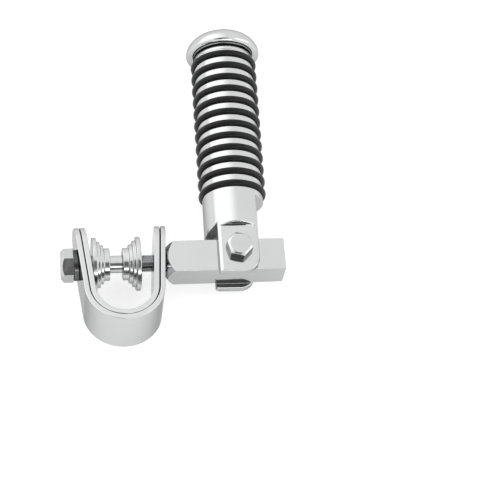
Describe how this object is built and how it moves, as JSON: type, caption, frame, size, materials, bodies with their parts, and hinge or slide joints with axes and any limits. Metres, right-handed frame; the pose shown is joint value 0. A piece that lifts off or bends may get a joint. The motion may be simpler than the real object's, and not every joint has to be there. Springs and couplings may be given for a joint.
{
  "type": "folding foot peg",
  "caption": "Folding chrome highway foot peg: ring-gripped barrel hinged to a square arm, held to a guard bar by a two-leaf U clamp.",
  "frame": {"origin": "centre of the clamp's guard bar eye, midway across the strap", "axes": "+X along the arm from the clamp to the hinge, +Y up the folded peg, +Z along the hinge bolt towards its head"},
  "size_m": [0.1278, 0.1971, 0.0449],
  "materials": {
    "chrome": "polished chrome plate",
    "cone_chrome": "turned and plated",
    "bolt_steel": "bright plated fasteners",
    "ring_rubber": "satin black"
  },
  "bodies": {
    "clamp": {"strap_outer": "chrome", "strap_inner": "chrome", "clamp_bolt": "bolt_steel", "clamp_lock_washer": "bolt_steel"},
    "left_cone": {"cone_left": "cone_chrome"},
    "right_cone": {"cone_right": "cone_chrome"},
    "arm": {"arm_block": "chrome"},
    "peg": {"peg_barrel": "chrome", "end_cap": "chrome", "pivot_bolt": "bolt_steel", "pivot_nut": "bolt_steel", "o_ring_01": "ring_rubber", "o_ring_02": "ring_rubber", "o_ring_03": "ring_rubber", "o_ring_04": "ring_rubber", "o_ring_05": "ring_rubber", "o_ring_06": "ring_rubber", "o_ring_07": "ring_rubber", "o_ring_08": "ring_rubber", "o_ring_09": "ring_rubber", "o_ring_10": "ring_rubber", "o_ring_11": "ring_rubber", "o_ring_12": "ring_rubber"}
  },
  "joints": [
    {"name": "arm_swivel", "type": "hinge", "parent": "clamp", "child": "arm", "pos_m": [0.02551, 0.02329, -0.00381], "axis": [1, 0, 0], "continuous": true},
    {"name": "peg_fold", "type": "hinge", "parent": "arm", "child": "peg", "pos_m": [0.06661, 0.02494, -0.00381], "axis": [0, 0, 1], "range_deg": [-89, 10]},
    {"name": "left_cone_slide", "type": "slide", "parent": "clamp", "child": "left_cone", "axis": [1, 0, 0], "range_m": [0, 0.0035]},
    {"name": "right_cone_slide", "type": "slide", "parent": "clamp", "child": "right_cone", "axis": [1, 0, 0], "range_m": [-0.0035, 0.0055]}
  ]
}
